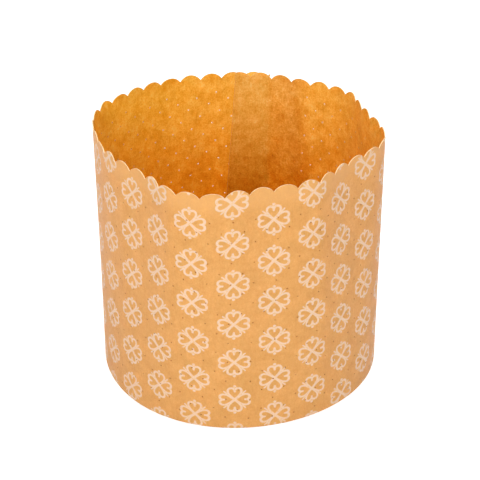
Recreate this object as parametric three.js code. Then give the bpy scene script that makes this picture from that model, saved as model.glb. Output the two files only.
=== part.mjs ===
// Round paper baking mold for a tall sweet bread: a scalloped strip of baking paper wrapped into a wall,
// with its ends lapped and its lower margin turned in under a round base.
// Millimetres, +Z up, the mold stands on Z = 0 and its bounding box is centred on the Z axis.
import * as THREE from 'three';

// Driving dimensions of the wall
const wallDiameter = 98; // of the circle that has the wall's girth
const wallHeight = 90; // to the crowns of the scallops
const scallopPitch = 8.03;
const scallopDepth = 2.1;
const scallopStart = 5.7; // from the strip's inner end to the first notch
const paperThickness = 0.3;

// Driving dimensions of the lapped seam
const lapWidth = 13; // at the rim
const lapDirection = 90.8; // degrees from +X to the strip's inner end at the rim
const endLean = 5.8; // how much farther the inner end reaches at the foot, because it was cut askew
const lapEase = 12; // length along which the inner end steps in behind the outer one
const glueGap = 0.05;

// Driving dimensions of the turned-in margin
const foldRadius = 1; // at the middle of the paper
const marginWidth = 8;
const pleatPitch = 6.5;
const pleatLift = 0.35;

// Driving dimensions of the base
const baseThickness = 0.4;
const baseSeat = 0.3; // between the highest pleat and the base
const baseMargin = 0.5; // between the wall and the base's edge

// How far the soft paper stands out of round: waves round the turn, their push in mm,
// and the direction in degrees from +X in which the first one points
const rimWaves = [
  { count: 2, push: 1.26, direction: 81.1 },
  { count: 3, push: 0.6, direction: 30.7 },
  { count: 4, push: 1.76, direction: -11.1 },
  { count: 5, push: 0.4, direction: -29 },
  { count: 6, push: 0.14, direction: -8.4 },
  { count: 7, push: 0.73, direction: -9.3 },
  { count: 8, push: 0.92, direction: -11.8 },
];
const footWaves = [
  { count: 2, push: 0.51, direction: -64.3 },
  { count: 3, push: 0.46, direction: 2.8 },
  { count: 4, push: 0.1, direction: -23.5 },
];

// How far the cut edge strays up and down, in the same way
const edgeWaves = [
  { count: 1, push: 1.07, direction: -100.1 },
  { count: 2, push: 0.61, direction: -15.7 },
  { count: 3, push: 0.66, direction: 23.2 },
];

// How finely the curves are cut into flats
const scallopSteps = 8;
const foldSteps = 3;
const outlineSteps = 720;
const baseSteps = 120;
const pleatShape = [
  { at: 0, lift: 0 },
  { at: 0.36, lift: 0 },
  { at: 0.5, lift: 1 },
  { at: 0.64, lift: 0 },
];

// Sizes that follow from the ones above
const girth = Math.PI * wallDiameter;
const stripLength = girth + lapWidth;
const layerStep = paperThickness + glueGap;
const scallopRadius = (scallopPitch ** 2 / 4 + scallopDepth ** 2) / (2 * scallopDepth);
const pleatCount = Math.round(girth / pleatPitch);
const footHeight = foldRadius + paperThickness / 2;
const baseHeight = paperThickness + layerStep + pleatLift + baseSeat;
const baseInset = paperThickness / 2 + layerStep + baseMargin;

// The sum of a set of waves in one direction, given in radians
function waveSum(waves, turn) {
  let sum = 0;
  for (const { count, push, direction } of waves) {
    sum += push * Math.cos(count * (turn - THREE.MathUtils.degToRad(direction)));
  }
  return sum;
}

// A closed outline round the Z axis that keeps the strip's girth while its waves push it out of round
class PaperOutline extends THREE.Curve {
  constructor(waves) {
    super();
    this.waves = waves;
    this.scale = 1;
    this.arcLengthDivisions = outlineSteps;
    this.scale = girth / this.getLength();
    this.updateArcLengths();
  }

  getPoint(t, target = new THREE.Vector3()) {
    const turn = 2 * Math.PI * t;
    const radius = this.scale * (wallDiameter / 2 + waveSum(this.waves, turn));
    return target.set(Math.cos(turn), Math.sin(turn), 0).multiplyScalar(radius);
  }
}

const rimOutline = new PaperOutline(rimWaves);
const footOutline = new PaperOutline(footWaves);

// The share of the girth at a place along the strip, counted anticlockwise from +X; the strip runs clockwise
const lapShare = lapDirection / 360;
const shareAlong = (along) => THREE.MathUtils.euclideanModulo(lapShare - along / girth, 1);

// A point at a share of the girth and a height, and off the middle of the paper by an offset along the normal
function wallPoint(share, height, offset) {
  const lean = height / wallHeight;
  const point = footOutline.getPointAt(share).lerp(rimOutline.getPointAt(share), lean);
  const tangent = footOutline.getTangentAt(share).lerp(rimOutline.getTangentAt(share), lean).normalize();
  point.x += tangent.y * offset;
  point.y -= tangent.x * offset;
  point.z = height;
  return point;
}

// How far the strip lies inside its own line: a full layer under the lap, then easing out to nothing
function stepIn(along) {
  const eased = THREE.MathUtils.smoothstep(along, lapWidth, lapWidth + lapEase);
  return layerStep * (1 - eased);
}

// The scalloped edge: a circular arc over each pitch, on a line that strays with the edge's waves
function rimHeight(along) {
  const pitchShare = THREE.MathUtils.euclideanModulo((along - scallopStart) / scallopPitch, 1);
  const across = scallopPitch * (pitchShare - 0.5);
  const fall = scallopRadius - Math.sqrt(scallopRadius ** 2 - across ** 2);
  return wallHeight + waveSum(edgeWaves, 2 * Math.PI * shareAlong(along)) - fall;
}

// Places along the strip where the rim has a corner of its facets, at both ends and in step with the notches
function rimStations() {
  const step = scallopPitch / scallopSteps;
  const closest = step / 4;
  const stations = [{ along: 0 }];
  for (let along = scallopStart % step; along < stripLength - closest; along += step) {
    if (along > closest) stations.push({ along });
  }
  stations.push({ along: stripLength });
  return stations;
}

// Places along the strip where the foot has a corner, with the lift of the pleat there; they are counted
// from the inner end at the rim, and the foot starts before it by the end's lean
function footStations() {
  const pleatShare = 1 / pleatCount;
  const closest = girth * pleatShare * 0.05;
  const stations = [{ along: -endLean, lift: 0 }];
  const first = Math.floor((lapShare - stripLength / girth) / pleatShare) - 1;
  const last = Math.ceil((lapShare + endLean / girth) / pleatShare) + 1;
  for (let pleat = last; pleat >= first; pleat -= 1) {
    for (const { at, lift } of [...pleatShape].reverse()) {
      const along = (lapShare - (pleat + at) * pleatShare) * girth;
      if (along > closest - endLean && along < stripLength - closest) stations.push({ along, lift });
    }
  }
  stations.push({ along: stripLength, lift: 0 });
  return stations;
}

// One line of corners along one face of the strip; side is +1 on the outer face and -1 on the inner
function rimRow(side) {
  return rimStations().map(({ along }) => {
    const offset = (side * paperThickness) / 2 - stepIn(along);
    return { along, point: wallPoint(shareAlong(along), rimHeight(along), offset) };
  });
}

function foldRow(side, angle) {
  return footStations().map(({ along }) => {
    const radius = foldRadius + (side * paperThickness) / 2 - stepIn(along);
    const point = wallPoint(shareAlong(along), 0, radius * Math.cos(angle) - foldRadius);
    point.z = footHeight - radius * Math.sin(angle);
    return { along, point };
  });
}

function marginRow(side) {
  return footStations().map(({ along, lift }) => {
    const radius = foldRadius + (side * paperThickness) / 2 - stepIn(along);
    const point = wallPoint(shareAlong(along), 0, -foldRadius - marginWidth);
    point.z = footHeight - radius + lift * pleatLift;
    return { along, point };
  });
}

// The rows of one face from the rim down the wall, round the fold and in to the margin's edge
function faceRows(side) {
  const rows = [rimRow(side)];
  const foldTurn = Math.PI / 2;
  for (let step = 0; step <= foldSteps; step += 1) rows.push(foldRow(side, (step / foldSteps) * foldTurn));
  rows.push(marginRow(side));
  return rows;
}

// The strip as one closed skin: both faces, the edges between them and the two ends
function buildStrip() {
  const outer = faceRows(1);
  const inner = faceRows(-1);
  const loop = [...outer, ...[...inner].reverse()];
  const positions = [];
  const addTriangle = (a, b, c) => {
    for (const { point } of [a, b, c]) positions.push(point.x, point.y, point.z);
  };
  const zipRows = (upper, lower) => {
    let i = 0;
    let j = 0;
    while (i < upper.length - 1 || j < lower.length - 1) {
      const upperNext = i < upper.length - 1 ? upper[i + 1].along : Infinity;
      const lowerNext = j < lower.length - 1 ? lower[j + 1].along : Infinity;
      if (upperNext < lowerNext) {
        addTriangle(upper[i], upper[i + 1], lower[j]);
        i += 1;
      } else {
        addTriangle(upper[i], lower[j + 1], lower[j]);
        j += 1;
      }
    }
  };
  loop.forEach((row, index) => zipRows(row, loop[(index + 1) % loop.length]));
  for (let k = 0; k < outer.length - 1; k += 1) {
    const corners = [outer[k], outer[k + 1], inner[k + 1], inner[k]];
    const [a, b, c, d] = corners.map((row) => row[0]);
    addTriangle(a, b, c);
    addTriangle(a, c, d);
    const [e, f, g, h] = corners.map((row) => row[row.length - 1]);
    addTriangle(e, g, f);
    addTriangle(e, h, g);
  }
  const geometry = new THREE.BufferGeometry();
  geometry.setAttribute('position', new THREE.Float32BufferAttribute(positions, 3));
  geometry.computeVertexNormals();
  return geometry;
}

// The base: the foot's own outline drawn in from the wall, as thick as its paper
function buildBase() {
  const outline = [];
  for (let step = 0; step < baseSteps; step += 1) {
    const { x, y } = wallPoint(step / baseSteps, 0, -baseInset);
    outline.push(new THREE.Vector2(x, y));
  }
  return new THREE.ExtrudeGeometry(new THREE.Shape(outline), { depth: baseThickness, bevelEnabled: false });
}

const wallPaper = new THREE.MeshStandardMaterial({ color: 0xe9ae62, roughness: 0.72, metalness: 0 });
const basePaper = new THREE.MeshStandardMaterial({ color: 0xd48a35, roughness: 0.7, metalness: 0 });

const wall = new THREE.Mesh(buildStrip(), wallPaper);
wall.name = 'side_wall';

const base = new THREE.Mesh(buildBase(), basePaper);
base.name = 'base_disc';
base.position.z = baseHeight;

const mold = new THREE.Group();
mold.add(wall, base);

// The box round the mold is centred on the Z axis
const middle = new THREE.Box3().setFromObject(mold).getCenter(new THREE.Vector3());
mold.position.set(-middle.x, -middle.y, 0);

export default mold;
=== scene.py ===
"""A round paper baking mold: a scalloped, printed and vented strip of baking paper round a paper base."""

import math
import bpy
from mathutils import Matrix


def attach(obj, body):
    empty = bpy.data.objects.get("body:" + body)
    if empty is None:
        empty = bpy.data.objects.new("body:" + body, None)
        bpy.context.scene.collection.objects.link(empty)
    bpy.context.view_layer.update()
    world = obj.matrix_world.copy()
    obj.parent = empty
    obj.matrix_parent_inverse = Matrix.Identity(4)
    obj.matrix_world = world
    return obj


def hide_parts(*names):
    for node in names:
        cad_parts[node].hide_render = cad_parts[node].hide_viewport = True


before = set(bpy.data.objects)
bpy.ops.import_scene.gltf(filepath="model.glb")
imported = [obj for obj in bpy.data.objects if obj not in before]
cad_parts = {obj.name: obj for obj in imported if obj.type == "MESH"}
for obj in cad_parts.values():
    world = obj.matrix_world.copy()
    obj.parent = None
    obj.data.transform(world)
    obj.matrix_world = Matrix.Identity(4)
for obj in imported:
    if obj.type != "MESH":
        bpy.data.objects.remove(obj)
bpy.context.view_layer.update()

from types import SimpleNamespace

import bpy
import numpy as np
from mathutils import Matrix

bl_info = {
    "name": "Paper Baking Mold",
    "version": (1, 0, 0),
    "blender": (4, 5, 0),
    "location": "3D View > Sidebar > Paper Mold",
    "description": "Makes a round paper baking mold with a scalloped rim, vents, a print and a base",
    "category": "Add Mesh",
}

MM = 0.001

# How far the paper stands out of round: waves round the turn, push in mm, and direction in degrees from +X
RIM_WAVES = ((2, 1.26, 81.1), (3, 0.6, 30.7), (4, 1.76, -11.1), (5, 0.4, -29.0), (6, 0.14, -8.4),
             (7, 0.73, -9.3), (8, 0.92, -11.8))
FOOT_WAVES = ((2, 0.51, -64.3), (3, 0.46, 2.8), (4, 0.1, -23.5))
# How far the cut edge strays up and down, in the same way
EDGE_WAVES = ((1, 1.07, -100.1), (2, 0.61, -15.7), (3, 0.66, 23.2))
# Upright creases: share of the girth, counted anticlockwise from +X, push in mm at the rim, half width in mm
CREASES = (
    (0.640, -0.42, 3.5),
    (0.676, 0.40, 3.5),
    (0.712, -0.12, 4.0),
    (0.842, 0.32, 3.0),
    (0.868, -0.15, 3.0),
)
# Soft ripples
SEED = 7  # for the ripples, then the curls
RIPPLE_COUNT = 26
RIPPLE_PUSH = 0.075  # mm, for each unit of the ripples' sum
RIPPLE_RISE = 6  # their push is full from this part of the height up, counted as one in so many
# Curls of the rim's lobes, in mm
CURL_COUNT = 64
CURL_PUSH = 0.45  # at the crown of the lobe that curls most
CURL_LOW = 2.5  # from a curl's lower end up to the notches
CURL_REACH = 4.6  # from a curl's lower end up to the crowns
CURL_FREE = 14  # length at either end of the strip along which nothing curls
CURL_EASE = 4  # length beyond that along which they grow to their full push
# What moves the wave outlines to the middle of the CAD box, in mm
OUTLINE_SHIFT = (-0.322, 0.7535)

# How the wall is cut into faces
CELL = 1.23  # size of the grid's cells, in mm
BAND_LOW = 83.6  # height over which the grid follows the scallops, in mm
BAND_ROWS = 5
RIM_STEPS = 14
FOLD_STEPS = 6
MARGIN_ROWS = 4
LEAN_CLEAR = 1.3  # from where the grid's columns stand upright again to the first vents, in mm
# One pleat of the margin: share of the pitch, and lift as a share of the pleats' lift
PLEAT_SHAPE = (
    (0.0, 0.0), (0.12, 0.0), (0.24, 0.0), (0.36, 0.06), (0.43, 0.55),
    (0.5, 1.0), (0.55, 0.85), (0.6, 0.0), (0.7, 0.0), (0.85, 0.0),
)
PLEAT_CLEAR = 0.2  # from the strip's ends to the nearest corner of a pleat, in mm
OUTER, INNER, EDGE, PRICK = 0, 1, 2, 3  # materials: both faces, the cut edges and the vents' walls
SHARP_ANGLE = math.radians(42)

# The lattice of vents, in mm
VENT_ALONG, VENT_HEIGHT = 148.64, 72.38  # place along the strip and height of one vent
VENT_TILT = 0.04  # slope of the rows of vents there
VENT_BEND = 0.00087  # how fast that slope grows along the strip, for each mm
VENT_REACH = (60, 40)  # half columns and rows of the lattice that are tried
VENT_LOW = 3  # height under which there is none
VENT_CLEAR = 1  # room to the strip's far end and to the band under the scallops
VENT_CORNERS = 8
VENT_ROOM = 0.04  # from a vent to the edge of its cell

# How the base is cut into faces, and its soft waves: count, push in mm, and start in radians
BASE_CORNERS = 240
BASE_RINGS = 24
BASE_CROWN = 0.12  # how much higher its middle is, in mm
BASE_WAVES = ((3, 0.06, 1.1), (7, 0.04, 0.4), (11, 0.03, 2.0))


def number(name, description, value, **kind):
    """A number of 0 or more that a user may change."""
    return bpy.props.FloatProperty(name=name, description=description, default=value, min=0.0, **kind)


def length(name, description, metres):
    """A length that a user may change."""
    return number(name, description, metres, precision=5, unit="LENGTH", subtype="DISTANCE")


def share(name, description, value):
    """A share from 0 to 1 that a user may change."""
    return number(name, description, value, max=1.0, subtype="FACTOR")


def colour(name, description, value):
    """A colour that a user may change."""
    return bpy.props.FloatVectorProperty(
        name=name, description=description, default=value, size=3, min=0.0, max=1.0, subtype="COLOR")


class PaperSizes(bpy.types.PropertyGroup):
    """Sizes of the strip of paper and of the base."""

    wall_diameter: length("Wall Diameter", "Diameter of the circle that has the wall's girth", 0.098)
    wall_height: length("Wall Height", "Height of the scallops' crowns", 0.09)
    thickness: length("Paper Thickness", "Thickness of the wall's paper", 0.0003)
    scallop_pitch: length("Scallop Pitch", "Distance from one notch of the rim to the next", 0.00803)
    scallop_depth: length("Scallop Depth", "Height of a crown over its notches", 0.0021)
    scallop_start: length("Scallop Start", "Distance from the strip's inner end to the first notch", 0.0057)
    lap_width: length("Lap Width", "How far the strip's ends lie over one another at the rim", 0.013)
    end_lean: length("End Lean", "How much farther the inner end reaches at the foot", 0.0058)
    lap_ease: length("Lap Ease", "Length along which the inner end steps in", 0.012)
    glue_gap: length("Glue Gap", "Room between the lapped ends", 0.00005)
    fold_radius: length("Fold Radius", "Radius of the fold at the foot, at the middle of the paper", 0.001)
    margin_width: length("Margin Width", "Width of the margin that is turned in", 0.008)
    pleat_pitch: length("Pleat Pitch", "Distance from one pleat of the margin to the next", 0.0065)
    pleat_lift: length("Pleat Lift", "Height of a pleat at the margin's edge", 0.00035)
    vent_spacing: length("Vent Spacing", "Distance between columns of vents, and between their rows", 0.00377)
    vent_diameter: length("Vent Diameter", "Diameter of the pricked vents", 0.0004)
    vent_free: length("Vent Free Length", "Length without vents from the strip's inner end", 0.0245)
    base_thickness: length("Base Thickness", "Thickness of the base", 0.0004)
    base_seat: length("Base Seat", "Room between the highest pleat and the base", 0.0003)
    base_margin: length("Base Margin", "Room between the wall and the base's edge", 0.0005)
    lap_direction: bpy.props.FloatProperty(
        name="Lap Direction", description="Direction of the strip's inner end, from the X axis",
        default=math.radians(90.8), subtype="ANGLE", unit="ROTATION")


class PrintSizes(bpy.types.PropertyGroup):
    """Sizes of the printed pattern of heart rosettes."""

    column_pitch: length("Column Pitch", "Distance between columns of rosettes", 0.013658)
    row_pitch: length("Row Pitch", "Distance between rows of rosettes", 0.014947)
    first_column: length("First Column", "Place along the strip of a column's middle", 0.15603)
    first_row: length("First Row", "Height of that column's highest rosette, cut by the rim", 0.087076)
    lobe_height: length("Lobe Height", "Distance from a rosette's middle to a heart's lobes", 0.00382)
    heart_point: length("Heart Point", "Distance from a rosette's middle to a heart's point", 0.00028)
    lobe_radius: length("Lobe Radius", "Radius of a heart's lobes, at the middle of the line", 0.00115)
    line_width: length("Line Width", "Width of the printed line", 0.00072)
    skew: bpy.props.FloatProperty(
        name="Skew", description="How far the next column towards the right stands higher, in millimetres",
        default=-0.354)


class PaperLooks(bpy.types.PropertyGroup):
    """Colours of the paper and of the print."""

    outside: colour("Outside", "Colour of the paper's outer face", (0.63, 0.392, 0.104))
    # A paler band of the outer face along the rim
    pale_rim: colour("Rubbed", "Colour of the outer face along the rim", (0.69, 0.455, 0.145))
    # The inner face's colours: paler at the rim by painted light and painted sheen, darker near the foot by
    # painted shade
    inside_high_lit: colour("Inside High", "Colour of the paper's inner face at the rim", (0.94, 0.568, 0.078))
    inside_low_shaded: colour("Inside Low", "Colour of the paper's inner face near the foot", (0.90, 0.43, 0.001))
    # The golden tint on the viewer's left is painted light
    golden: colour("Golden", "Colour that the inner face tends to on the viewer's left", (1.0, 0.72, 0.03))
    # The glued end's dull tint is painted shade where two layers let less light through, deepest near the
    # foot
    seam: colour("Seam", "Tint of the duller glued end", (0.83, 0.78, 0.80))
    # The paler tint near the rim over the glued end is a painted sheen
    painted_sheen: colour("Haze", "Colour of the haze of glue near the rim", (1.0, 0.62, 0.16))
    burr: colour("Burr", "Colour of the torn pulp round the vents on the inner face", (1.0, 0.80, 0.34))
    # The dark ring round the vents on the outer face is painted shade in the vents' hollows
    vent_shade: colour("Dent", "Colour of the dents round the vents on the outer face", (0.14, 0.05, 0.01))
    glow: colour("Glow", "Colour of the light that comes through", (0.95, 0.40, 0.0015))
    print_ink: colour("Print", "Colour of the print", (0.70, 0.515, 0.368))
    cut_edge: colour("Cut Edge", "Colour of the cut edges", (0.95, 0.68, 0.36))
    vent_edge: colour("Vent Edge", "Colour inside the pricked vents", (0.60, 0.31, 0.08))
    base: colour("Base", "Colour of the base", (0.72, 0.31, 0.02))
    translucency: share("Translucency", "Share of the light that goes into the paper and comes through", 0.36)


class StudioLooks(bpy.types.PropertyGroup):
    """The floor and the light."""

    floor: colour("Floor", "Colour of the floor", (0.9, 0.9, 0.9))
    overhead: number("Overhead", "How much stronger the surroundings are overhead", 1.22)
    side_shade: share("Side Shade", "How much weaker the surroundings are at both sides", 0.8)
    right: number("Right", "How much stronger the surroundings are high up on the right", 1.2)
    sky: number("Sky", "Strength of the white surroundings", 0.57)
    key: number("Key Lamp", "Power of the broad lamp over the viewer", 8.2, unit="POWER")


def in_mm(group):
    """The lengths of a property group in millimetres."""
    lengths = [each.identifier for each in group.bl_rna.properties
               if each.type == "FLOAT" and each.unit == "LENGTH"]
    return SimpleNamespace(**{name: getattr(group, name) / MM for name in lengths})


# Shape of the paper


def wave_sum(waves, turn):
    """The sum over all waves of push times the cosine of count times the turn from the wave's direction."""
    return sum(push * np.cos(count * (turn - math.radians(direction))) for count, push, direction in waves)


def wave_slope(waves, turn):
    """How fast wave_sum grows with the turn."""
    return sum(-push * count * np.sin(count * (turn - math.radians(direction)))
               for count, push, direction in waves)


class PaperOutline:
    """A closed outline: its radius is half the diameter plus its waves, scaled so that it keeps the girth."""

    STEPS = 2880  # chords along which its length is measured

    def __init__(self, waves, diameter):
        self.waves = waves
        self.radius = diameter / 2
        self.turns = np.linspace(0, 2 * math.pi, self.STEPS + 1)
        radius = self.radius + wave_sum(waves, self.turns)
        chords = np.abs(np.diff(radius * np.exp(1j * self.turns)))
        walked = np.concatenate([[0.0], np.cumsum(chords)])
        self.scale = math.pi * diameter / walked[-1]
        self.shares = walked / walked[-1]

    def at(self, where):
        """Points and tangents at shares of the girth, counted anticlockwise from +X, as numbers x + iy."""
        turn = np.interp(where % 1.0, self.shares, self.turns)
        radius = self.scale * (self.radius + wave_sum(self.waves, turn))
        slope = self.scale * wave_slope(self.waves, turn)
        return radius * np.exp(1j * turn), (slope + 1j * radius) * np.exp(1j * turn)


class PaperStrip:
    """The strip's shape: every place on it is a distance along from its inner end, a height and a side."""

    def __init__(self, sizes, lap_direction):
        self.size = sizes
        self.girth = math.pi * sizes.wall_diameter
        self.total = self.girth + sizes.lap_width
        self.layer = sizes.thickness + sizes.glue_gap
        self.foot = sizes.fold_radius + sizes.thickness / 2
        self.lap_share = lap_direction / (2 * math.pi)
        self.rim_outline = PaperOutline(RIM_WAVES, sizes.wall_diameter)
        self.foot_outline = PaperOutline(FOOT_WAVES, sizes.wall_diameter)
        random = np.random.default_rng(SEED)
        self.ripples = [
            (int(random.integers(6, 42)), random.uniform(-5, 5), random.uniform(0, 2 * math.pi))
            for _ in range(RIPPLE_COUNT)]
        self.curls = random.uniform(-1, 1, CURL_COUNT)

    def skewed(self, along, height):
        """Places along the strip, drawn back towards the leaning inner end: by the end's whole lean at the
        foot, and not at all at the grid's top or beyond the stretch without vents."""
        drop = np.clip((BAND_LOW - height) / (BAND_LOW - self.foot), 0, 1)
        fade = np.clip(1 - along / (self.size.vent_free - LEAN_CLEAR), 0, 1)
        return along - self.size.end_lean * drop * fade

    def share(self, along):
        """The share of the girth at a distance along the strip, which runs clockwise from its inner end."""
        return self.lap_share - along / self.girth

    def flat(self, where, lean, offset):
        """Points between the foot's outline at lean 0 and the rim's at lean 1, moved out by an offset."""
        foot_point, foot_tangent = self.foot_outline.at(where)
        rim_point, rim_tangent = self.rim_outline.at(where)
        point = foot_point + (rim_point - foot_point) * lean
        tangent = foot_tangent + (rim_tangent - foot_tangent) * lean
        point = point - 1j * tangent / np.abs(tangent) * offset + complex(*OUTLINE_SHIFT)
        return np.stack([point.real, point.imag], -1)

    def step_in(self, along):
        """A full layer under the lap, then down to nothing by a smooth step."""
        eased = np.clip((along - self.size.lap_width) / self.size.lap_ease, 0, 1)
        return self.layer * (1 - eased * eased * (3 - 2 * eased))

    def rim(self, along):
        """Height of the cut edge: a circular arc over each pitch, on a line that strays with its waves."""
        pitch, depth = self.size.scallop_pitch, self.size.scallop_depth
        radius = (pitch ** 2 / 4 + depth ** 2) / (2 * depth)
        across = pitch * ((along - self.size.scallop_start) / pitch % 1.0 - 0.5)
        stray = wave_sum(EDGE_WAVES, 2 * math.pi * self.share(along))
        return self.size.wall_height + stray - (radius - np.sqrt(radius ** 2 - across ** 2))

    def relief(self, along, height):
        """Soft ripples, a sum of cosines over the turn and the height; a curl of each lobe; and creases, each
        one push over the hyperbolic cosine of the distance. None of them reaches the foot."""
        turn = 2 * math.pi * self.share(along)
        up = height / self.size.wall_height
        ripple = sum(np.cos(count * turn + rise * up + start) / (3 + 0.15 * count)
                     for count, rise, start in self.ripples)
        pitches = (along - self.size.scallop_start) / self.size.scallop_pitch
        most = self.curls[np.floor(pitches).astype(int) % CURL_COUNT]
        ends = np.minimum(along - CURL_FREE, self.total - CURL_FREE - along)
        notch = self.size.wall_height - self.size.scallop_depth + wave_sum(EDGE_WAVES, turn)
        over = np.clip((height - notch + CURL_LOW) / CURL_REACH, 0, 1)
        curl = most * np.sin(math.pi * (pitches % 1.0)) * over ** 2 * np.clip(ends / CURL_EASE, 0, 1)
        crease = 0.0
        for where, push, width in CREASES:
            off = ((self.share(along) - where + 0.5) % 1.0 - 0.5) * self.girth
            crease = crease + push / np.cosh(off / width)
        return (RIPPLE_PUSH * ripple * np.clip(up * RIPPLE_RISE, 0, 1) + CURL_PUSH * curl
                + crease * np.clip(up, 0, 1))

    def wall(self, along, height, side):
        """Points of the upright wall."""
        lean = (height - self.foot) / (self.size.wall_height - self.foot)
        offset = side * self.size.thickness / 2 - self.step_in(along) + self.relief(along, height)
        flat = self.flat(self.share(along), lean, offset)
        return np.concatenate([flat, np.broadcast_to(height, along.shape)[..., None]], -1)

    def bend(self, along, side):
        """Radius of the fold on one side of the paper."""
        return self.size.fold_radius + side * self.size.thickness / 2 - self.step_in(along)

    def fold(self, along, angle, side):
        """Points of the fold at the foot: a quarter circle of the fold's radius, from the wall at angle 0."""
        radius = self.bend(along, side)
        flat = self.flat(self.share(along), 0.0, radius * np.cos(angle) - self.size.fold_radius)
        return np.concatenate([flat, (self.foot - radius * np.sin(angle))[..., None]], -1)

    def margin(self, along, reach, lift, side):
        """Points of the turned-in margin: a reach inwards from the fold, lifted towards the edge."""
        flat = self.flat(self.share(along), 0.0, -self.size.fold_radius - reach)
        rise = lift * self.size.pleat_lift * reach / self.size.margin_width
        return np.concatenate([flat, (self.foot - self.bend(along, side) + rise)[..., None]], -1)


# Meshes


class Skin:
    """Gathers points, triangles, the flat place of each point on the paper and a mark of the points round the
    vents, and makes a mesh of them."""

    def __init__(self):
        self.points, self.flat, self.marks, self.triangles, self.slots = [], [], [], [], []
        self.count = 0

    def add_points(self, points, flat, mark=0.0):
        """Adds an array of points with their places on the flat paper, and gives their numbers."""
        size = points[..., 0].size
        numbers = np.arange(self.count, self.count + size).reshape(points.shape[:-1])
        self.points.append(points.reshape(-1, 3))
        self.flat.append(np.broadcast_to(flat, points.shape[:-1] + (2,)).reshape(-1, 2))
        self.marks.append(np.full(size, mark, dtype=np.float32))
        self.count += size
        return numbers

    def add_triangles(self, a, b, c, slot):
        """Adds triangles whose corners are given by three arrays of numbers."""
        corners = np.stack([np.ravel(a), np.ravel(b), np.ravel(c)], -1)
        self.triangles.append(corners)
        self.slots.append(np.full(len(corners), slot))

    def add_quads(self, a, b, c, d, slot):
        """Adds four-cornered faces as two triangles each."""
        self.add_triangles(a, b, c, slot)
        self.add_triangles(a, c, d, slot)

    def add_band(self, upper, lower, slot, flip=False):
        """Joins two rows of the same number of points."""
        a, b, c, d = upper[:-1], upper[1:], lower[1:], lower[:-1]
        if flip:
            a, b, c, d = d, c, b, a
        self.add_quads(a, b, c, d, slot)

    def add_rows(self, rows, slot, flip=False):
        """Joins each row to the next one."""
        for upper, lower in zip(rows[:-1], rows[1:]):
            self.add_band(upper, lower, slot, flip)

    def add_zip(self, upper, upper_along, lower, lower_along, slot, flip=False):
        """Joins two rows of different points: each edge of one meets the point that the other has reached."""
        reached = np.searchsorted(lower_along[1:], upper_along[1:], side="right")
        behind = np.searchsorted(upper_along[1:], lower_along[1:], side="left")
        for a, b, c in ((upper[:-1], upper[1:], lower[reached]), (upper[behind], lower[1:], lower[:-1])):
            if flip:
                b, c = c, b
            self.add_triangles(a, b, c, slot)

    def mesh(self, name):
        """The mesh, in metres, with the flat places in metres as its UV map."""
        points = np.concatenate(self.points) * MM
        flat = np.concatenate(self.flat) * MM
        triangles = np.concatenate(self.triangles).astype(np.int32)
        mesh = bpy.data.meshes.new(name)
        mesh.vertices.add(len(points))
        mesh.vertices.foreach_set("co", points.astype(np.float32).ravel())
        mesh.loops.add(triangles.size)
        mesh.loops.foreach_set("vertex_index", triangles.ravel())
        mesh.polygons.add(len(triangles))
        mesh.polygons.foreach_set("loop_start", np.arange(0, triangles.size, 3, dtype=np.int32))
        mesh.polygons.foreach_set("material_index", np.concatenate(self.slots).astype(np.int32))
        mesh.update(calc_edges=True)
        flat_map = mesh.uv_layers.new(name="flat_paper")
        flat_map.data.foreach_set("uv", flat[triangles.ravel()].astype(np.float32).ravel())
        mesh.attributes.new("vent", "FLOAT", "POINT").data.foreach_set("value", np.concatenate(self.marks))
        mesh.shade_smooth()
        mesh.set_sharp_from_angle(angle=SHARP_ANGLE)
        if mesh.validate(verbose=False):
            raise RuntimeError(f"{name} has faulty faces")
        return mesh


def show(name, mesh, materials, node):
    """Puts a mesh in the scene as the piece that stands for a CAD node."""
    piece = bpy.data.objects.new(name, mesh)
    bpy.context.scene.collection.objects.link(piece)
    for material in materials:
        mesh.materials.append(material)
    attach(piece, "root")
    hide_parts(node)


def vent_places(strip, columns, rows):
    """Which cells of the grid hold a vent, and the vents' middles. The vents lie on a lattice of squares that
    stand on a corner, whose rows bend evenly along the strip. Each vent stays in its cell."""
    sizes = strip.size
    spacing = sizes.vent_spacing
    m, n = np.meshgrid(*(np.arange(-reach, reach) for reach in VENT_REACH))
    m, n = m[(m + n) % 2 == 0], n[(m + n) % 2 == 0]
    angle = VENT_TILT + VENT_BEND * m * spacing
    climb = VENT_TILT * m * spacing + VENT_BEND * (m * spacing) ** 2 / 2
    along = VENT_ALONG + m * spacing - n * spacing * angle
    height = VENT_HEIGHT + n * spacing + climb
    keep = (along > sizes.vent_free) & (along < strip.girth - VENT_CLEAR)
    keep &= (height > VENT_LOW) & (height < BAND_LOW - VENT_CLEAR)
    along, height = along[keep], height[keep]
    column = np.searchsorted(columns, along) - 1
    row = np.searchsorted(rows, height) - 1
    vented = np.zeros((len(rows) - 1, len(columns) - 1), bool)
    vented[row, column] = True
    middles = np.zeros(vented.shape + (2,))
    room = sizes.vent_diameter / 2 + VENT_ROOM
    middles[row, column, 0] = np.clip(along, columns[column] + room, columns[column + 1] - room)
    middles[row, column, 1] = np.clip(height, rows[row] + room, rows[row + 1] - room)
    return vented, middles[vented]


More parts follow.
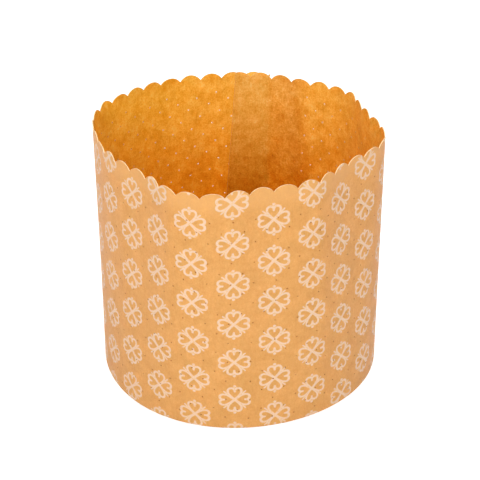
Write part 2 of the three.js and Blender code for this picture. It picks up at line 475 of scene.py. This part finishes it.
def build_wall(sizes, lap_direction):
    """The whole strip as one closed skin: outer and inner faces on one grid of places along the strip and
    heights, with a ring of faces round each vent; a finer band under the scallops; the fold and the pleated
    margin; then the edges between the two faces."""
    strip = PaperStrip(sizes, lap_direction)
    skin = Skin()
    columns = np.linspace(0.0, strip.total, round(strip.total / CELL) + 1)
    rows = np.linspace(strip.foot, BAND_LOW, round((BAND_LOW - strip.foot) / CELL) + 1)
    along, height = np.meshgrid(columns, rows)
    along = strip.skewed(along, height)
    foot_columns = along[0]
    vented, middles = vent_places(strip, columns, rows)
    turn = np.arange(VENT_CORNERS) * 2 * math.pi / VENT_CORNERS
    rings = middles[:, None, :] + sizes.vent_diameter / 2 * np.stack([np.cos(turn), np.sin(turn)], -1)

    rim_step = sizes.scallop_pitch / RIM_STEPS
    stations = np.arange(sizes.scallop_start % rim_step, strip.total, rim_step)
    stations = stations[(stations > rim_step / 4) & (stations < strip.total - rim_step / 4)]
    stations = np.concatenate([[0.0], stations, [strip.total]])
    shares = np.linspace(0, 1, BAND_ROWS + 1)[:, None]
    band_along = np.broadcast_to(stations, (BAND_ROWS + 1, len(stations)))
    band_height = BAND_LOW + (strip.rim(stations) - BAND_LOW) * shares

    pleat_count = round(strip.girth / sizes.pleat_pitch)
    pleat = strip.girth / pleat_count
    shape = np.array(PLEAT_SHAPE)
    first = (strip.lap_share * pleat_count) % 1.0
    numbers = np.arange(-2, pleat_count + 4)[:, None]
    places = ((numbers + shape[:, 0] + first) * pleat).ravel()
    lifts = (shape[:, 1] + 0 * numbers).ravel()
    keep = (places > foot_columns[0] + PLEAT_CLEAR) & (places < strip.total - PLEAT_CLEAR)
    places = np.concatenate([foot_columns[:1], places[keep], [strip.total]])
    lifts = np.concatenate([[0.0], lifts[keep], [0.0]])
    reaches = np.linspace(0, sizes.margin_width, MARGIN_ROWS + 1)
    reaches, margin_along = np.meshgrid(reaches, places, indexing="ij")
    angles = np.linspace(0, math.pi / 2, FOLD_STEPS + 1)
    angles, fold_along = np.meshgrid(angles, foot_columns, indexing="ij")
    fold_flat = np.stack([fold_along, strip.foot - sizes.fold_radius * angles], -1)
    margin_flat = np.stack([margin_along, fold_flat[-1, 0, 1] - reaches], -1)

    faces = {}
    for side, slot in ((1, OUTER), (-1, INNER)):
        flip = side < 0
        grid = skin.add_points(strip.wall(along, height, side), np.stack([along, height], -1))
        a, b, c, d = grid[1:, :-1], grid[1:, 1:], grid[:-1, 1:], grid[:-1, :-1]
        corners = (d, c, b, a) if flip else (a, b, c, d)
        skin.add_quads(*(corner[~vented] for corner in corners), slot)
        ring = skin.add_points(strip.wall(rings[..., 0], rings[..., 1], side), rings, mark=1.0)
        around = (b[vented], a[vented], d[vented], c[vented])
        for k, corner in enumerate(around):
            low, mid, high = ring[:, 2 * k], ring[:, 2 * k + 1], ring[:, (2 * k + 2) % VENT_CORNERS]
            after = around[(k + 1) % 4]
            for p, q, r in ((corner, mid, low), (corner, high, mid), (corner, after, high)):
                if flip:
                    q, r = r, q
                skin.add_triangles(p, q, r, slot)

        band = skin.add_points(strip.wall(band_along[1:], band_height[1:], side),
                               np.stack([band_along[1:], band_height[1:]], -1))
        skin.add_zip(band[0], stations, grid[-1], columns, slot, flip)
        skin.add_rows(band[::-1], slot, flip)

        fold = skin.add_points(strip.fold(fold_along, angles, side)[1:], fold_flat[1:])
        fold = np.concatenate([grid[:1], fold])
        skin.add_rows(fold, slot, flip)
        margin = skin.add_points(strip.margin(margin_along, reaches, lifts, side)[1:], margin_flat[1:])
        skin.add_zip(fold[-1], foot_columns, margin[0], places, slot, flip)
        skin.add_rows(margin, slot, flip)
        start, end = (
            np.concatenate([band[::-1, k], grid[::-1, k], fold[1:, k], margin[:, k]]) for k in (0, -1))
        faces[side] = {"ring": ring, "rim": band[-1], "margin": margin[-1], "start": start, "end": end}

    outer, inner = faces[1], faces[-1]
    skin.add_band(inner["rim"], outer["rim"], EDGE)
    skin.add_band(outer["margin"], inner["margin"], EDGE)
    skin.add_band(outer["start"], inner["start"], EDGE)
    skin.add_band(inner["end"], outer["end"], EDGE)
    near, far = outer["ring"], inner["ring"]
    skin.add_quads(near, far, np.roll(far, -1, 1), np.roll(near, -1, 1), PRICK)
    return skin.mesh("paper_wall")


def build_base(sizes, lap_direction):
    """The base: rings that shrink from the foot's outline, drawn in from the wall, to one middle point; the
    upper and lower faces stand off a softly waved middle by half the thickness."""
    strip = PaperStrip(sizes, lap_direction)
    skin = Skin()
    inset = sizes.thickness / 2 + strip.layer + sizes.base_margin
    low = sizes.thickness + strip.layer + sizes.pleat_lift + sizes.base_seat
    where = np.arange(BASE_CORNERS) / BASE_CORNERS
    rim = strip.flat(where, 0.0, -inset)
    shares = np.linspace(0, 1, BASE_RINGS + 1)[1:, None]
    centre = rim.mean(0)
    flat = centre + (rim - centre) * shares[..., None]
    wave = sum(push * np.cos(count * 2 * math.pi * where + start) for count, push, start in BASE_WAVES)
    rise = BASE_CROWN * (1 - shares ** 2) + wave * shares * (1 - shares) * 2
    edges = []
    for z, slot in ((low + sizes.base_thickness, INNER), (low, OUTER)):
        middle = skin.add_points(np.array([[*centre, z + BASE_CROWN]]), centre)
        rings = skin.add_points(np.concatenate([flat, (z + rise)[..., None]], -1), flat)
        after = np.roll(rings, -1, axis=1)
        fan = (np.repeat(middle, BASE_CORNERS), rings[0], after[0])
        quads = (rings[:-1], rings[1:], after[1:], after[:-1])
        turned = 1 if slot == INNER else -1
        skin.add_triangles(*fan[::turned], slot)
        skin.add_quads(*quads[::turned], slot)
        edges.append((rings[-1], after[-1]))
    (top, top_after), (under, under_after) = edges
    skin.add_quads(top, under, under_after, top_after, EDGE)
    return skin.mesh("paper_base")


# Materials


class Wire:
    """One number or colour in a node tree, so that a sum of nodes reads as a sum."""

    def __init__(self, graph, socket):
        self.graph, self.socket = graph, socket

    def __add__(self, other):
        return self.graph.maths("ADD", self, other)

    def __sub__(self, other):
        return self.graph.maths("SUBTRACT", self, other)

    def __rsub__(self, other):
        return self.graph.maths("SUBTRACT", other, self)

    def __mul__(self, other):
        return self.graph.maths("MULTIPLY", self, other)

    def __truediv__(self, other):
        return self.graph.maths("DIVIDE", self, other)

    def __abs__(self):
        return self.graph.maths("ABSOLUTE", self)

    __radd__, __rmul__ = __add__, __mul__


def opaque(paint):
    """A wire as it is, or a colour with its alpha of 1."""
    return paint if isinstance(paint, Wire) else (*paint, 1.0)


class Graph:
    """Adds nodes to the emptied tree of a material or a world, and joins them."""

    def __init__(self, owner):
        self.owner = owner
        owner.use_nodes = True
        self.tree = owner.node_tree
        self.tree.nodes.clear()

    def node(self, kind, inputs, output=0, **settings):
        """Adds one node with its settings and inputs, and gives one of its outputs."""
        node = self.tree.nodes.new(kind)
        for name, value in settings.items():
            setattr(node, name, value)
        for key, value in inputs.items():
            if isinstance(value, Wire):
                self.tree.links.new(value.socket, node.inputs[key])
            else:
                node.inputs[key].default_value = value
        return None if output is None else Wire(self, node.outputs[output])

    def maths(self, operation, *values):
        """One step of arithmetic."""
        return self.node("ShaderNodeMath", dict(enumerate(values)), operation=operation)

    def length(self, x, y):
        """The distance of (x, y) from nothing."""
        return self.maths("SQRT", x * x + y * y)

    def ramp(self, value, low, high):
        """A smooth step from 0 where the value is low to 1 where it is high."""
        return self.node("ShaderNodeMapRange", {"Value": value, "From Min": low, "From Max": high},
                         interpolation_type="SMOOTHSTEP")

    def blend(self, factor, first, second, blend_type="MIX"):
        """The first colour at factor 0 and the second at factor 1."""
        inputs = {0: factor, 6: opaque(first), 7: opaque(second)}
        return self.node("ShaderNodeMix", inputs, output=2, data_type="RGBA", blend_type=blend_type)

    def deepened(self, base, density):
        """The base colour to the power of one plus the pulp's density, and duller where that is high."""
        deep = self.node("ShaderNodeGamma", {"Color": opaque(base), "Gamma": density + 1.0})
        dull = 1.0 - density * DULLING
        grey = self.node("ShaderNodeCombineXYZ", {0: dull, 1: dull, 2: dull})
        return self.blend(1.0, deep, grey, "MULTIPLY")

    def mark(self, name):
        """One of the mesh's own marks, from 0 to 1."""
        return self.node("ShaderNodeAttribute", {}, output="Fac", attribute_name=name)

    def parts(self, vector):
        """The three numbers of a vector."""
        split = self.node("ShaderNodeSeparateXYZ", {0: vector})
        return [Wire(self, output) for output in split.socket.node.outputs]

    def noise(self, coordinates, scales, detail=3.0, roughness=0.55):
        """Soft noise round 0.5, with so many features for each metre along each axis."""
        stretched = self.node("ShaderNodeMapping", {"Vector": coordinates, "Scale": scales})
        return self.node("ShaderNodeTexNoise",
                         {"Vector": stretched, "Scale": 1.0, "Detail": detail, "Roughness": roughness},
                         noise_dimensions="3D")

    def streaked(self, density):
        """The density with short streaks up the paper."""
        return density + (self.noise(self.flat_place(), STREAKS, detail=2.0) - 0.5) * STREAK_DEPTH

    def pulp(self):
        """The pulp's clouds and grain, its density and the bump of its surface."""
        place = self.object_place()
        clouds = self.noise(place, CLOUDS, detail=5.0, roughness=0.85)
        grain = self.noise(place, GRAIN, detail=2.0, roughness=0.6)
        density = (clouds - 0.5) * CLOUD_DEPTH + (grain - 0.5) * GRAIN_DEPTH
        bump = self.node("ShaderNodeBump", {
            "Strength": 0.35, "Distance": 0.00012, "Height": grain * 0.6 + clouds})
        return clouds, grain, density, bump

    def principled(self, colour_face, bump, roughness, specular):
        """A surface that lets nothing through."""
        return self.node("ShaderNodeBsdfPrincipled", {
            "Base Color": colour_face, "Roughness": roughness, "Specular IOR Level": specular,
            "Normal": bump})

    def object_place(self):
        """The place on the object, in metres."""
        return self.node("ShaderNodeTexCoord", {}, output="Object")

    def flat_place(self):
        """The place on the flat paper, in metres."""
        return self.node("ShaderNodeUVMap", {}, uv_map="flat_paper")

    def flat_mm(self):
        """The place along the strip and the height on the flat paper, in mm."""
        return [part * (1 / MM) for part in self.parts(self.flat_place())[:2]]

    def finish(self, surface, kind="ShaderNodeOutputMaterial"):
        """Joins the surface to the tree's output, and gives the tree's owner."""
        self.node(kind, {"Surface": surface}, output=None)
        return self.owner


# Patterns of the pulp: features for each metre along each axis, and how much they count in the density
CLOUDS, CLOUD_DEPTH = (200, 200, 200), 1.75
GRAIN, GRAIN_DEPTH = (1900, 1900, 1900), 0.9
STREAKS, STREAK_DEPTH = (1500, 130, 1), 0.3
FIBRES, FIBRE_DEPTH = (2600, 2600, 700), 0.25
LOOSE_GRAIN = (2600, 2600, 2600)
BASE_DEPTH = 0.6  # how much the density counts in the base
DULLING = 0.35  # how much duller the paper is for each unit of density
LOOSE_GRAIN_STARTS, LOOSE_GRAIN_TINT = (0.35, 0.65), 0.82  # of the cut edges

# Where the inner face changes, each from one place to another, in mm of height or along the strip
# Painted shade near the foot gives way to painted light at the rim between these heights
SHADED_TO_LIT = (20.0, 86.0)
GOLDEN_STARTS, GOLDEN_WANES = (190.0, 230.0), (262.0, 306.0)
LAP_ENDS = (12.6, 13.6)
GLUE_ENDS = (30.5, 38.5)
# A darker line that leans along the glued end, stronger towards the foot
DARK_LINE_STARTS, DARK_LINE_ENDS = (26.0, 28.5), (29.5, 33.0)
# Where the painted sheen grows in, by height
PAINTED_SHEEN_STARTS = (46.0, 88.0)
GLUE_LEAN = 0.1  # how far the glue's edge comes back along the strip for each mm of height
# Shares of the colours there
# Painted light on the viewer's left: its share near the foot, its growth towards the rim, and how much of it
# wanes
GOLDEN_LOW, GOLDEN_RISE, GOLDEN_WANE = 0.17, 0.16, 0.75
# How much less painted shade the glued end has at the rim
SEAM_SHADE_RISE = 0.15
# The darker line's share and how much it fades at the rim, then the painted shade that darkens the glued end
# near the foot
DARK_LINE, DARK_LINE_RISE, GLUED_SHADE_LOW = 0.5, 0.6, 0.4
# Shares of the painted sheen over the glued end, and of the extra over the lap
PAINTED_SHEEN, PAINTED_SHEEN_LAPPED = 0.14, 0.2
# Where the torn pulp and the painted shade round the vents show: mark round the vents, and clouds that break
# them up
BURR_MARK, BURR_CLOUDS = (0.45, 0.75), (0.38, 0.52)
VENT_SHADE_MARK, VENT_SHADE_CLOUDS = (0.8, 0.98), (0.4, 0.5)

# The outer face
OUTER_DEPTH, OUTER_GLOW_DEPTH = 0.25, 0.4  # how much the density counts there
# A paler band along the rim, from these heights up
PALE_RIM_STARTS = (82.5, 87.0)  # height in mm
PALE_RIM, PALE_RIM_STRAY = 0.75, 12  # share, and how far its edge strays with the clouds, in mm
PRINT_SOFT = 0.09  # half width of the print's soft edge, in mm
PRINT_STRAY = 0.35  # how far its edge strays with the grain, in mm
INK_STARTS, INK_CLOUDS = (0.3, 0.66), 0.3  # the grain and clouds over which the ink holds
INK, INK_BLOCKS = 0.85, 0.7  # share of the ink's colour, and of the light that it stops

# A rosette: shares of the height of the hearts' lobes, then half widths in mm
SQUAT = 1.07  # how much wider than high it is
STUB_FROM, STUB_TO = 0.92, 1.16
STROKE_MIDDLE, STROKE_HALF = 1.13, 0.20
BEAD_MIDDLE = 1.50
STUB_WIDTH, STROKE_WIDTH, BEAD_WIDTH = 0.38, 0.28, 0.53
LINE_IN, LINE_OUT = 0.36, 0.048  # half the line, as shares of its width: in the middle, and for each mm out
TOP_ROW_RISE = 1.0  # how much higher the row over the first one stands, in mm


def rosette_print(graph, along, height, sizes, skew):
    """How far each place is from the print, in mm, less than 0 on it. Columns of rosettes stand half a row
    off their neighbours. A rosette is four hearts with their points at its middle: each heart's sides follow
    a quarter of a sine wave and its lobes are circles; a stub stands in each notch, a stroke between hearts
    and a bead over and under."""
    column = (sizes.first_column - along) / sizes.column_pitch
    nearest = graph.maths("ROUND", column)
    x = (column - nearest) * sizes.column_pitch
    odd = graph.maths("FLOORED_MODULO", nearest, 2.0)
    drop = (sizes.first_row + nearest * skew - height) / sizes.row_pitch - odd * 0.5
    row = graph.maths("ROUND", drop)
    y = (row - drop) * sizes.row_pitch - graph.maths("LESS_THAN", row, -0.5) * TOP_ROW_RISE
    wide, tall = abs(x), abs(y) * SQUAT
    a = graph.maths("MAXIMUM", wide, tall)
    b = graph.maths("MINIMUM", wide, tall)

    top, point, radius = sizes.lobe_height, sizes.heart_point, sizes.lobe_radius
    half_line = sizes.line_width * (LINE_IN + LINE_OUT * a)
    lobe = abs(graph.length(b - radius, a - top) - radius)
    phase = graph.maths("MAXIMUM", a - point, 0.0) * (math.pi / 2 / (top - point))
    slope = graph.maths("COSINE", phase) * (math.pi * radius / (top - point))
    gap = abs(b - graph.maths("SINE", phase) * (2 * radius))
    side = gap / graph.maths("SQRT", slope * slope + 1.0)
    over = graph.maths("GREATER_THAN", a, top)
    distance = side + (lobe - side) * over - half_line

    below = graph.maths("MAXIMUM", STUB_FROM * top - a, 0.0)
    above = graph.maths("MAXIMUM", a - STUB_TO * top, 0.0)
    stub = graph.length(b, below + above) - STUB_WIDTH
    out = abs((a + b) * math.sqrt(0.5) - STROKE_MIDDLE * top) - STROKE_HALF * top
    stroke = graph.length((a - b) * math.sqrt(0.5), graph.maths("MAXIMUM", out, 0.0)) - STROKE_WIDTH
    bead = graph.length(wide, tall - BEAD_MIDDLE * top) - BEAD_WIDTH
    for extra in (stub, stroke, bead):
        distance = graph.maths("MINIMUM", distance, extra)
    return distance


def paper_surface(graph, face, glow, share_through, bump):
    """A mix of the face and the light that comes through the paper."""
    through = graph.node("ShaderNodeBsdfTranslucent", {"Color": glow, "Normal": bump})
    return graph.finish(graph.node("ShaderNodeMixShader", {0: share_through, 1: face, 2: through}))


def outer_face(name, looks, print_sizes, skew):
    """The outer face: satin paper, even in tone, with long fibres; the print, which is worn where grain and
    clouds are thin and stops some light; a paler band along the rim; and painted shade round the vents."""
    graph = Graph(bpy.data.materials.new(name))
    along, height = graph.flat_mm()
    clouds, grain, density, bump = graph.pulp()
    density = graph.streaked(density)
    fibres = graph.noise(graph.object_place(), FIBRES, detail=2.0, roughness=0.7)
    plain = graph.deepened(looks.outside, density * OUTER_DEPTH + (fibres - 0.5) * FIBRE_DEPTH)
    # Paler along the rim, with an edge that strays with the clouds
    pale_rim = graph.ramp(height + (clouds - 0.5) * PALE_RIM_STRAY, *PALE_RIM_STARTS)
    plain = graph.blend(pale_rim * PALE_RIM, plain, looks.pale_rim)
    distance = rosette_print(graph, along, height, print_sizes, skew) + (grain - 0.5) * PRINT_STRAY
    worn = graph.ramp(grain + clouds * INK_CLOUDS, *INK_STARTS)
    coverage = (1.0 - graph.ramp(distance, -PRINT_SOFT, PRINT_SOFT)) * worn
    printed = graph.blend(coverage * INK, plain, looks.print_ink)
    # Painted shade round the vents, broken up by the clouds
    vent_shade = graph.ramp(graph.mark("vent"), *VENT_SHADE_MARK) * graph.ramp(clouds, *VENT_SHADE_CLOUDS)
    vent_shaded = graph.blend(vent_shade, printed, looks.vent_shade)
    glow = graph.deepened(looks.glow, density * OUTER_GLOW_DEPTH)
    share_through = (1.0 - coverage * INK_BLOCKS) * looks.translucency
    face = graph.principled(vent_shaded, bump, roughness=0.5, specular=0.6)
    return paper_surface(graph, face, glow, share_through, bump)


def inner_face(name, looks):
    """The inner face: glossier, deeper near the foot by painted shade and paler at the rim by painted light
    and sheen, more golden on the viewer's left by painted light, with painted shade, a darker line and a
    painted sheen over the glued end, and torn pulp round the vents."""
    graph = Graph(bpy.data.materials.new(name))
    along, height = graph.flat_mm()
    clouds, _, density, bump = graph.pulp()
    density = graph.streaked(density)
    # Painted shade near the foot, painted light and sheen at the rim
    rise = graph.ramp(height, *SHADED_TO_LIT)
    # Painted light on the viewer's left turns the face golden, more towards the rim
    left = graph.ramp(along, *GOLDEN_STARTS) - graph.ramp(along, *GOLDEN_WANES) * GOLDEN_WANE
    left = left * (rise * GOLDEN_RISE + GOLDEN_LOW)
    plain = graph.blend(rise, looks.inside_low_shaded, looks.inside_high_lit)
    plain = graph.blend(left, plain, looks.golden)

    across = along + height * GLUE_LEAN
    glued = 1.0 - graph.ramp(across, *GLUE_ENDS)
    lapped = 1.0 - graph.ramp(along, *LAP_ENDS)
    # Painted shade over the glued end, where two layers let less light through: full near the foot, a little
    # less at the rim over the single layer, none there over the lap
    dull = glued * (1.0 - lapped * rise) * (1.0 - rise * SEAM_SHADE_RISE)
    plain = graph.blend(dull, plain, looks.seam, "MULTIPLY")
    # The darker line, weaker towards the rim, and painted shade that darkens the glued end towards the foot
    dark_line = graph.ramp(across, *DARK_LINE_STARTS) * (1.0 - graph.ramp(across, *DARK_LINE_ENDS))
    low = dark_line * (1.0 - rise * DARK_LINE_RISE) * DARK_LINE + glued * (1.0 - rise) * GLUED_SHADE_LOW
    plain = graph.blend(low, plain, looks.seam, "MULTIPLY")
    # A painted sheen near the rim over the glued end, more over the lap
    painted_sheen = glued * (lapped * PAINTED_SHEEN_LAPPED + PAINTED_SHEEN) * graph.ramp(height, *PAINTED_SHEEN_STARTS)
    plain = graph.blend(painted_sheen, plain, looks.painted_sheen)

    torn = graph.ramp(graph.mark("vent"), *BURR_MARK) * graph.ramp(clouds, *BURR_CLOUDS)
    torn_face = graph.blend(torn, graph.deepened(plain, density), looks.burr)
    # The light that comes through is painted golden on the viewer's left too
    glow = graph.deepened(graph.blend(left, looks.glow, looks.golden), density)
    face = graph.principled(torn_face, bump, roughness=0.32, specular=0.28)
    return paper_surface(graph, face, glow, looks.translucency, bump)


def base_face(name, looks, tint):
    """The base's paper: the wall's mottling, a little softer, in the base's own colour."""
    graph = Graph(bpy.data.materials.new(name))
    _, _, density, bump = graph.pulp()
    colour_face = graph.deepened([tint * c for c in looks.base], density * BASE_DEPTH)
    return graph.finish(graph.principled(colour_face, bump, roughness=0.45, specular=0.3))


def paper_edge(name, pulp):
    """A cut edge: bare pulp with loose grain, darker between the grains."""
    graph = Graph(bpy.data.materials.new(name))
    grain = graph.noise(graph.object_place(), LOOSE_GRAIN)
    tone = graph.blend(graph.ramp(grain, *LOOSE_GRAIN_STARTS), [LOOSE_GRAIN_TINT * c for c in pulp], pulp)
    bump = graph.node("ShaderNodeBump", {"Strength": 0.5, "Distance": 0.00008, "Height": grain})
    return graph.finish(graph.principled(tone, bump, roughness=0.85, specular=0.2))


# Operators


class MOLD_OT_paper_wall(bpy.types.Operator):
    """Makes the strip: the wall with its scalloped rim, vents, lap, fold and pleated margin"""

    bl_idname = "mold.paper_wall"
    bl_label = "Paper Wall"

    def execute(self, context):
        scene = context.scene
        mesh = build_wall(in_mm(scene.mold_paper), scene.mold_paper.lap_direction)
        looks = scene.mold_looks
        materials = (
            outer_face("wall_outer_face", looks, in_mm(scene.mold_print), scene.mold_print.skew),
            inner_face("wall_inner_face", looks),
            paper_edge("wall_cut_edge", looks.cut_edge),
            paper_edge("wall_vent_edge", looks.vent_edge),
        )
        show("paper_wall", mesh, materials, "side_wall")
        return {"FINISHED"}


class MOLD_OT_paper_base(bpy.types.Operator):
    """Makes the round base that lies on the turned-in margin"""

    bl_idname = "mold.paper_base"
    bl_label = "Paper Base"

    def execute(self, context):
        scene = context.scene
        mesh = build_base(in_mm(scene.mold_paper), scene.mold_paper.lap_direction)
        looks = scene.mold_looks
        materials = (
            base_face("base_lower_face", looks, 0.9),
            base_face("base_upper_face", looks, 1.0),
            paper_edge("base_cut_edge", looks.cut_edge),
        )
        show("paper_base", mesh, materials, "base_disc")
        return {"FINISHED"}


# The photograph's viewpoint, in mm and degrees
VIEW_PLACE = (0.571, -486.611, 318.26)
VIEW_DOWN = 29.232
VIEW_ROLL = -0.379
VIEW_LENS = 119.4
SENSOR_WIDTH = 36.0

# The floor and the lamp, in metres
FLOOR_RADIUS = 2.5
FLOOR_CORNERS = 96
FLOOR_LIFT = 0.45  # strength of the light that whitens the floor where it is seen directly
LAMP_PLACE = (-0.2, -1.1, 0.52)
LAMP_SIZE = 0.7
SHADE_LEAN = 0.12  # how much more the right side is shaded than the left


class MOLD_OT_stage(bpy.types.Operator):
    """Makes the floor, the light and the camera"""

    bl_idname = "mold.stage"
    bl_label = "Stage"

    def execute(self, context):
        scene = context.scene
        make_floor(scene)
        make_light(scene)
        make_camera(scene)
        return {"FINISHED"}


def seen_directly(graph):
    """1 for rays from the camera or by way of gloss or glass, and 0 for the light that reaches the object."""
    camera = graph.node("ShaderNodeLightPath", {}, output="Is Camera Ray")
    gloss = graph.node("ShaderNodeLightPath", {}, output="Is Glossy Ray")
    glass = graph.node("ShaderNodeLightPath", {}, output="Is Transmission Ray")
    return graph.maths("MAXIMUM", graph.maths("MAXIMUM", camera, gloss), glass)


def make_floor(scene):
    """A wide round floor at height 0: pale, and lifted to white where it is seen directly."""
    turn = np.arange(FLOOR_CORNERS) * 2 * math.pi / FLOOR_CORNERS
    rim = FLOOR_RADIUS * np.stack([np.cos(turn), np.sin(turn), 0 * turn], -1)
    mesh = bpy.data.meshes.new("floor")
    mesh.from_pydata(rim.tolist(), [], [list(range(FLOOR_CORNERS))])
    floor = bpy.data.objects.new("floor", mesh)
    scene.collection.objects.link(floor)
    graph = Graph(bpy.data.materials.new("floor"))
    paint = graph.node("ShaderNodeBsdfDiffuse", {"Color": opaque(scene.mold_studio.floor)})
    lift = graph.node("ShaderNodeEmission", {"Strength": seen_directly(graph) * FLOOR_LIFT})
    mesh.materials.append(graph.finish(graph.node("ShaderNodeAddShader", {0: paint, 1: lift})))


def make_light(scene):
    """White surroundings, stronger overhead and high up on the right and weaker at both sides, and one broad
    soft lamp above the viewer."""
    studio = scene.mold_studio
    scene.world = bpy.data.worlds.new("surroundings")
    graph = Graph(scene.world)
    across, _, up = graph.parts(graph.node("ShaderNodeTexCoord", {}, output="Generated"))
    high = graph.maths("MAXIMUM", up, 0.0)
    shade = across * (across * studio.side_shade + SHADE_LEAN)
    right = graph.maths("MAXIMUM", across, 0.0) * high * studio.right
    light = (high * studio.overhead + studio.sky) * (1.0 - shade) + right
    strength = light + seen_directly(graph) * (1.0 - light)
    graph.finish(graph.node("ShaderNodeBackground", {"Strength": strength}), "ShaderNodeOutputWorld")

    lamp = bpy.data.lights.new("key", "AREA")
    lamp.shape = "DISK"
    lamp.size = LAMP_SIZE
    lamp.energy = studio.key
    lamp_object = bpy.data.objects.new("key", lamp)
    lamp_object.location = LAMP_PLACE
    ahead = -lamp_object.location.normalized()
    lamp_object.rotation_euler = ahead.to_track_quat("-Z", "Y").to_euler()
    scene.collection.objects.link(lamp_object)


def make_camera(scene):
    """The camera at the photograph's viewpoint."""
    tilt = Matrix.Rotation(math.radians(90 - VIEW_DOWN), 4, "X")
    roll = Matrix.Rotation(math.radians(VIEW_ROLL), 4, "Z")
    camera = bpy.data.cameras.new("camera")
    camera.lens = VIEW_LENS
    camera.sensor_width = SENSOR_WIDTH
    camera_object = bpy.data.objects.new("camera", camera)
    camera_object.matrix_world = Matrix.Translation([MM * c for c in VIEW_PLACE]) @ tilt @ roll
    scene.collection.objects.link(camera_object)
    scene.camera = camera_object
    scene.view_settings.view_transform = "Standard"


class MOLD_PT_sidebar(bpy.types.Panel):
    """Lists the mold's sizes, looks and pieces in the 3D view's sidebar"""

    bl_idname = "MOLD_PT_sidebar"
    bl_label = "Paper Mold"
    bl_space_type = "VIEW_3D"
    bl_region_type = "UI"
    bl_category = "Paper Mold"

    def draw(self, context):
        for group in (getattr(context.scene, name) for name in GROUPS):
            box = self.layout.box()
            for name in group.__annotations__:
                box.prop(group, name)
        for operator in PIECES:
            self.layout.operator(operator.bl_idname)


PIECES = (MOLD_OT_paper_wall, MOLD_OT_paper_base, MOLD_OT_stage)
GROUPS = {
    "mold_paper": PaperSizes, "mold_print": PrintSizes, "mold_looks": PaperLooks, "mold_studio": StudioLooks}


def register():
    """Registers the classes and hangs the property groups on the scene."""
    for each in (*GROUPS.values(), *PIECES, MOLD_PT_sidebar):
        bpy.utils.register_class(each)
    for name, group in GROUPS.items():
        setattr(bpy.types.Scene, name, bpy.props.PointerProperty(type=group))


def unregister():
    """Takes back what register did."""
    for name in GROUPS:
        delattr(bpy.types.Scene, name)
    for each in reversed((*GROUPS.values(), *PIECES, MOLD_PT_sidebar)):
        bpy.utils.unregister_class(each)


def main():
    """Makes every piece and the stage."""
    register()
    bpy.ops.mold.paper_wall()
    bpy.ops.mold.paper_base()
    bpy.ops.mold.stage()


if __name__ == "__main__":
    main()
